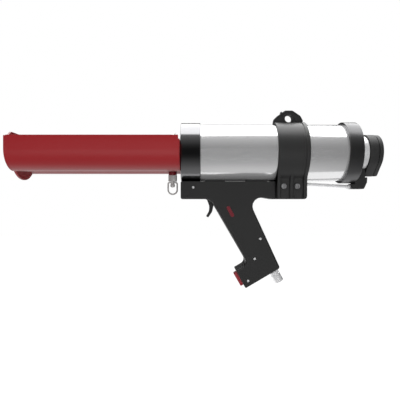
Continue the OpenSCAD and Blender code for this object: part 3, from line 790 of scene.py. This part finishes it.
def buildCasing():
    sizes = {"capSeat": 50.2, "inlet": 6.6, "muffler": 8, "inlay": 3, "inlayDepth": 0.8, "screwHole": 2.5,
             "screwFloor": 18.6}
    inlay = stadium(*inlaySpan, sizes["inlay"])
    for side, name in ((-1, "Left"), (1, "Right")):
        face, depth = side * casingHalf, sizes["inlayDepth"]
        tools = [drill(alongX, -32.5, 1, sizes["capSeat"], 192),
                 box(bmesh.new(), (10.5, -5.4, -99), (34, 5.4, -74)),
                 box(bmesh.new(), (-5, -6.3, -0.3), (3, 6.3, 24.9), toePlace),
                 drill(inletPlace, -52, 4, sizes["inlet"], 48),
                 drill(mufflerPlace, -6, 2, sizes["muffler"], 48),
                 slab(bmesh.new(), inlay, face - depth, face + depth, sideways, 0.05, 0.05, 1)]
        tools += [drill(aim((x, 0, z), (0, side, 0)), sizes["screwFloor"], 23, sizes["screwHole"])
                  for x, z in screwSpots]
        shell = carve(halfShell(side), *tools)
        piece("casing" + name, shell, "gun", "black_plastic", "casing_" + name.lower())
    bars = bmesh.new()
    for side in sides:
        slab(bars, stadium(*inlaySpan, 2.92), side * 20.7 - 0.5, side * 20.7 + 0.5, sideways, 0.25, 0.25, 2)
    piece("gripInlays", bars, "gun", "red_plastic", "grip_inlays", finish="smoked_red")


def screwHead(radius, depth, socket):
    profile = soften([(0, 0), (0, radius, 0.2), (depth, radius, 0.45), (depth, 0)], False, 3)
    return carve(lathe(bmesh.new(), upwards, profile, 40), drill(upwards, depth * 0.45, depth + 1, socket, 6))


def buildScrews():
    sizes = {"screwY": 18.7, "boltY": 26}
    spots = [(x, -sizes["screwY"], z) for x, z in screwSpots]
    data = repeated(spots, screwHead(2.1, 2.0, 1.1), (math.pi / 2, 0, 0), finishes["zinc_steel"])
    settle("casingScrews", data, "gun", "zinc_steel", ["casing_screws"])
    bolts = [(x, -sizes["boltY"], boltZ) for x in boltX]
    data = repeated(bolts, screwHead(4.3, 3.4, 2.4), (math.pi / 2, 0, 0), finishes["dark_steel"])
    settle("strapBolts", data, "gun", "dark_steel", ["strap_bolts"])
    nuts = [(x, sizes["boltY"], boltZ) for x in boltX]
    nut = lathe(bmesh.new(), upwards, rodProfile(0, 4.2, 5.3, 0.5), 6)
    lathe(nut, upwards, rodProfile(4, 5.4, 3, 0.5), 32)
    data = repeated(nuts, nut, (-math.pi / 2, 0, 0), finishes["dark_steel"])
    settle("strapNuts", data, "gun", "dark_steel", ["strap_nuts"])


# Strap clamp and the hanger eye's web
# The values between two keys, at x
def mixed(keys, x):
    for (a, *first), (b, *second) in zip(keys, keys[1:]):
        if a <= x <= b:
            share = (x - a) / (b - a) if b > a else 0
            return [p + (q - p) * share for p, q in zip(first, second)]
    return list(keys[-1][1:])


# One slice of the strap: the band's arc, a fillet, then the flange down the casing's side
def strapSection(x, radius, flange, fillet, low):
    inner, side, arcSteps, filletSteps = 47.36, 21.06, 40, 8
    reach = radius + fillet
    centre = (flange + fillet, -math.sqrt(max(1, reach ** 2 - (flange + fillet) ** 2)))
    end = math.atan2(centre[1], centre[0])
    outer = []
    for i in range(arcSteps + 1):
        a = math.pi / 2 + (end - math.pi / 2) * i / arcSteps
        outer.append((radius * math.cos(a), radius * math.sin(a)))
    first, last = end + math.pi, math.pi
    for i in range(1, filletSteps + 1):
        a = first + (last - first) * i / filletSteps
        outer.append((centre[0] + fillet * math.cos(a), centre[1] + fillet * math.sin(a)))
    outer += [(flange, low + 1.0), (flange - 0.3, low + 0.3), (flange - 1.0, low)]
    inside = [(side, low), (side, -42.6)]
    innerEnd = math.atan2(-math.sqrt(inner ** 2 - side ** 2), side)
    for i in range(arcSteps + 1):
        a = innerEnd + (math.pi / 2 - innerEnd) * i / arcSteps
        inside.append((inner * math.cos(a), inner * math.sin(a)))
    ring = [(x, -y, z) for y, z in reversed(outer)] + [(x, y, z) for y, z in outer[1:]]
    ring += [(x, y, z) for y, z in inside] + [(x, -y, z) for y, z in reversed(inside[:-1])]
    return ring


def buildStrap():
    sizes = {"hole": 3.1, "seat": 6.2, "seatY": 25.98}
    # each key: x, band radius, flange, fillet, lowest z
    keys = [(124.0, 48.4, 21.6, 5, -76.8), (124.3, 49.9, 22.6, 6, -77.6), (124.8, 50.6, 24.4, 9, -78.0),
            (125.4, 51.0, 27.6, 20, -78.1), (126.0, 51.1, 29.0, 28, -78.1), (130.4, 51.1, 29.0, 28, -78.1),
            (131.0, 51.1, 28.0, 16, -78.1), (131.6, 51.1, 26.2, 5, -78.1), (132.2, 51.1, 26.0, 4, -78.1),
            (145.0, 51.1, 26.0, 4, -78.1), (145.8, 51.1, 26.6, 7, -78.1), (146.8, 51.1, 28.8, 24, -78.1),
            (147.4, 51.1, 29.0, 28, -78.1), (151.2, 51.1, 29.0, 28, -78.1), (151.8, 51.1, 28.0, 16, -78.1),
            (152.4, 51.1, 26.2, 5, -78.1), (153.0, 51.1, 26.0, 4, -78.1), (165.4, 51.1, 26.0, 4, -78.1),
            (165.8, 50.6, 25.6, 4, -78.1), (167.6, 50.6, 25.6, 4, -78.1), (168.2, 51.3, 27.6, 10, -78.1),
            (168.9, 51.9, 29.0, 26, -78.1), (171.0, 51.9, 29.0, 26, -77.9), (172.4, 51.9, 29.0, 26, -77.2),
            (173.4, 51.7, 28.9, 25, -76.2), (174.1, 51.2, 28.5, 23, -75.0), (174.5, 50.5, 27.9, 20, -73.6)]
    stations = sorted({key[0] for key in keys} | {136.0, 141.0, 157.0, 161.0})
    rings = [strapSection(x, *mixed(keys, x)) for x in stations]
    strap = loft(bmesh.new(), rings)
    holes = [drill(aim((x, 0, boltZ), (0, 1, 0)), -40, 40, sizes["hole"]) for x in boltX]
    seats = [drill(aim((x, 0, boltZ), (0, side, 0)), sizes["seatY"], 40, sizes["seat"], 40)
             for x in boltX for side in sides]
    piece("strapClamp", carve(strap, *holes, *seats), "gun", "strap_plastic", "strap_clamp", angle=30)


def buildLug():
    sizes = {"eye": (149.4, 57.9), "hole": 6.2, "boss": 8.6, "web": 4, "rim": 5}
    eyePlace = aim((sizes["eye"][0], 0, sizes["eye"][1]), (0, 1, 0))
    corners = [(123.8, 49.5, 0.5), (125.1, 57.2, 5), (129.4, 61.4, 8), (143.5, 71.6, 5), (156.2, 71.6, 6),
               (169.5, 62.6, 8), (173.6, 54.6, 4), (173.6, 49.5, 0.5)]
    outline = soften(corners, True, 6)
    web = slab(bmesh.new(), outline, -sizes["web"], sizes["web"], sideways, 0.3, 0.3, 2)
    web = carve(web, drill(eyePlace, -10, 10, sizes["hole"], 64))
    rim = sizes["rim"]
    levels = [(0.5, -rim), (0, 0.5 - rim), (0, rim - 0.5), (0.5, rim), (1.8, rim), (2.2, 4.4), (2.2, -4.4),
              (1.8, -rim)]
    rings = [[(x, y, z) for x, z in (shrink(outline, depth) if depth else outline)] for depth, y in levels]
    loft(web, rings, wrap=True)
    lathe(web, eyePlace, ringProfile(-rim, rim, sizes["boss"], sizes["hole"], 0.5, 4), 64)
    for a, b in (((137.3, 68.8), (144.4, 46.5)), ((158.6, 61.5), (164.6, 46.5))):
        slab(web, stadium(a, b, 0.9, 6), -rim, rim, sideways, 0.5, 0.5, 3)
    piece("hangerLug", web, "gun", "strap_plastic")


# Trigger, button and inlet
def buildTrigger():
    sizes = {"half": 5, "edge": 0.7, "pivot": (18, 0, -60), "hole": 2.05}
    corners = [(11, -58, 4), (11, -77, 12), (15.9, -90, 12), (15.3, -98.5, 10), (10.3, -107, 0.8),
               (14, -109, 0.8), (20.5, -99.5, 8), (23, -88, 10), (24, -76, 6), (24, -58, 4)]
    half, edge = sizes["half"], sizes["edge"]
    trigger = slab(bmesh.new(), corners, -half, half, sideways, edge, edge)
    trigger = carve(trigger, drill(aim(sizes["pivot"], (0, 1, 0)), -8, 8, sizes["hole"]))
    piece("trigger", trigger, "trigger", "black_plastic", "trigger")


def buildButton():
    sizes = {"half": 6, "length": 24.6, "corner": 0.8, "proud": 5, "stem": 2.5, "stemAt": 10.1}
    half, length, corner = sizes["half"], sizes["length"], sizes["corner"]
    corners = [(-half, 0, corner), (half, 0, corner), (half, length, corner), (-half, length, corner)]
    outwards = lambda a, b, c: toePlace @ Vector((c, a, b))
    button = slab(bmesh.new(), corners, -1, sizes["proud"], outwards, 0.2, 1.2)
    stemPlace = toePlace @ aim((0, 0, sizes["stemAt"]), (1, 0, 0))
    lathe(button, stemPlace, rodProfile(-16, -0.9, sizes["stem"], 0.3), 32)
    piece("reverseButton", button, "reverse_button", "red_plastic", "reverse_button")


def buildInlet():
    profile = soften([(-50.8, 2.5, 0.2), (-50.8, 6.5, 0.5), (-19.4, 6.5, 0), (-19.4, 7.8, 0.4),
                      (-16.2, 7.8, 0.3), (-15.7, 7.2, 0.2), (-14.9, 7.2, 0.2), (-14.4, 7.8, 0.3), (0, 7.8, 0.8),
                      (0, 5.7, 0.5),
                      (-12, 5.7, 0), (-12, 5.2, 0), (-13.6, 5.2, 0), (-13.6, 2.5, 0)], True, 4)
    fitting = lathe(bmesh.new(), inletPlace, profile, 96)
    piece("inletFitting", fitting, "gun", "polished_steel", "inlet_fitting")
    muffler = lathe(bmesh.new(), mufflerPlace, rodProfile(-5, 0.6, 7.9, 0.5), 64)
    piece("exhaustMuffler", muffler, "gun", "bronze", "exhaust_muffler")


# Plungers and rods
def buildPlungers():
    sizes = {"rod": 6, "rodThread": 4, "discFront": -46}
    discProfile = soften([(sizes["discFront"], 0), (sizes["discFront"], 27.5, 0.5), (-44.6, 29.5, 0.4),
                          (-41, 29.5, 0.4), (-40, 28, 0.4), (-40, 12, 1.2), (-36, 12, 1), (-36, 0)], False, 4)
    bushProfile = soften([(-34.5, 6.05, 0.2), (-34.5, 8.8, 0.5), (-31.5, 8.8, 0.3), (-31.5, 8, 0),
                          (-18, 8, 0.2), (-18, 6.05, 0.2)], True, 3)
    discs, rods, bushes = bmesh.new(), bmesh.new(), bmesh.new()
    for side in sides:
        lathe(discs, lobePlace(side), discProfile, 128)
        lathe(rods, lobePlace(side), rodProfile(-36, 214, sizes["rod"], 0.4), 64)
        lathe(rods, lobePlace(side), rodProfile(213.9, 234, sizes["rodThread"], 0.4), 48)
        lathe(bushes, lobePlace(side), bushProfile, 64)
    piece("plungerDiscs", discs, "piston", "white_plastic", "plunger_discs")
    piece("pistonRods", rods, "piston", "polished_steel", "piston_rods")
    piece("rodBushes", bushes, "gun", "brass", "rod_bushes")
    spots = [(sizes["discFront"], side * lobeY, 0) for side in sides]
    data = repeated(spots, screwHead(5, 3, 2), (0, -math.pi / 2, 0), finishes["zinc_steel"])
    settle("discScrews", data, "piston", "zinc_steel", ["disc_screws"])


# Studio: floor and lights in metres, the camera's place in millimetres
studio = {"floorDrop": 1.0, "floorLow": (-9.0, 0.02), "floorHigh": (9.0, 9.0), "floorGlow": 1.05,
          "topHeight": 1.2, "topSize": (2.4, 1.9), "topShift": 0.47, "topGlow": 3.9, "fillSize": (3.2, 2.0),
          "frontGlow": 6.4, "backGlow": 4.8, "lens": 35, "sensor": 36, "cameraAway": 661, "cameraDrop": 79.5}
# World brightness from straight down, 0, to straight up, 1
worldStops = [(0.0, 0.55), (0.1, 0.30), (0.2, 0.17), (0.32, 0.06), (0.42, 0.03), (0.58, 0.03), (0.7, 0.08),
              (0.85, 0.25), (1.0, 0.5)]


def buildFloor():
    low, high = studio["floorLow"], studio["floorHigh"]
    level = zero.z - studio["floorDrop"]
    mesh = bmesh.new()
    mesh.faces.new([mesh.verts.new((x, y, level)) for x, y in
                    ((low[0], low[1]), (high[0], low[1]), (high[0], high[1]), (low[0], high[1]))])
    data = bpy.data.meshes.new("floor")
    mesh.to_mesh(data)
    mesh.free()
    floor = placed("floor", data)
    s = Shader("paleFloor", Roughness=0.9, Emission_Color=(1, 1, 1, 1), Emission_Strength=studio["floorGlow"])
    s.set("Base Color", s.blend(s.noise(3, 2), (0.02, 0.02, 0.02), (0.03, 0.03, 0.03)))
    data.materials.append(s.material)


def hangPanel(name, size, offset, facing, glow, shown):
    light = bpy.data.lights.new(name, "AREA")
    light.shape = "RECTANGLE"
    light.size, light.size_y = size
    light.energy = glow * math.pi * size[0] * size[1]
    lamp = bpy.data.objects.new(name, light)
    bpy.context.scene.collection.objects.link(lamp)
    lamp.location = zero + Vector(offset)
    lamp.rotation_euler = (Vector(facing) * -1).to_track_quat("Z", "Y").to_euler()
    lamp.visible_camera = False
    lamp.visible_glossy = shown


# Plain white to the camera, and soft bands for what the object reflects
def buildWorld():
    world = bpy.data.worlds.new("studioWorld")
    world.use_nodes = True
    tree = world.node_tree
    tree.nodes.clear()
    out = tree.nodes.new("ShaderNodeOutputWorld")
    background = tree.nodes.new("ShaderNodeBackground")
    path = tree.nodes.new("ShaderNodeLightPath")
    coords = tree.nodes.new("ShaderNodeTexCoord")
    split = tree.nodes.new("ShaderNodeSeparateXYZ")
    height = tree.nodes.new("ShaderNodeMapRange")
    height.inputs["From Min"].default_value = -1
    height.inputs["From Max"].default_value = 1
    ramp = tree.nodes.new("ShaderNodeValToRGB")
    while len(ramp.color_ramp.elements) < len(worldStops):
        ramp.color_ramp.elements.new(0.5)
    for stop, (place, shade) in zip(ramp.color_ramp.elements, worldStops):
        stop.position = place
        stop.color = (shade, shade, shade, 1)
    mix = tree.nodes.new("ShaderNodeMix")
    mix.data_type = "RGBA"
    mix.inputs[7].default_value = (1, 1, 1, 1)
    link = tree.links.new
    link(coords.outputs["Generated"], split.inputs[0])
    link(split.outputs["Z"], height.inputs["Value"])
    link(height.outputs[0], ramp.inputs[0])
    link(path.outputs["Is Camera Ray"], mix.inputs[0])
    link(ramp.outputs[0], mix.inputs[6])
    link(mix.outputs[2], background.inputs["Color"])
    link(background.outputs[0], out.inputs[0])
    bpy.context.scene.world = world


def buildCamera():
    lens = bpy.data.cameras.new("mainCamera")
    lens.lens = studio["lens"]
    lens.sensor_width = studio["sensor"]
    lens.clip_end = 50
    camera = bpy.data.objects.new("mainCamera", lens)
    bpy.context.scene.collection.objects.link(camera)
    camera.location = zero + Vector((0, -studio["cameraAway"], -studio["cameraDrop"])) * mm
    camera.rotation_euler = (math.pi / 2, 0, 0)
    bpy.context.scene.camera = camera


def buildStudio():
    buildFloor()
    hangPanel("topLight", studio["topSize"], (0, studio["topShift"], studio["topHeight"]), (0, 0, -1),
              studio["topGlow"], True)
    hangPanel("frontFill", studio["fillSize"], (0, -2.4, -0.5), (0, 1, 0.1), studio["frontGlow"], False)
    hangPanel("backFill", studio["fillSize"], (0, 2.6, 0.3), (0, -1, -0.1), studio["backGlow"], False)
    buildWorld()
    bpy.context.scene.view_settings.view_transform = "Standard"
    buildCamera()


buildRepeatTree()
for build in (buildCylinder, buildFrontCap, buildRearCap, buildCollar, buildKnob, buildElbow, buildAirTube,
              buildTrough, buildFrontPlate, buildRearPlate, buildLock, buildCasing, buildScrews, buildStrap,
              buildLug, buildTrigger, buildButton, buildInlet, buildPlungers):
    build()
    print("built:", build.__name__)
# The pieces kept from the frame get their finishes
for name, node in frame["nodes"].items():
    if not node.hide_render:
        node.data.materials.clear()
        node.data.materials.append(finishes[slotOf[name]])
buildStudio()
print("studio set")
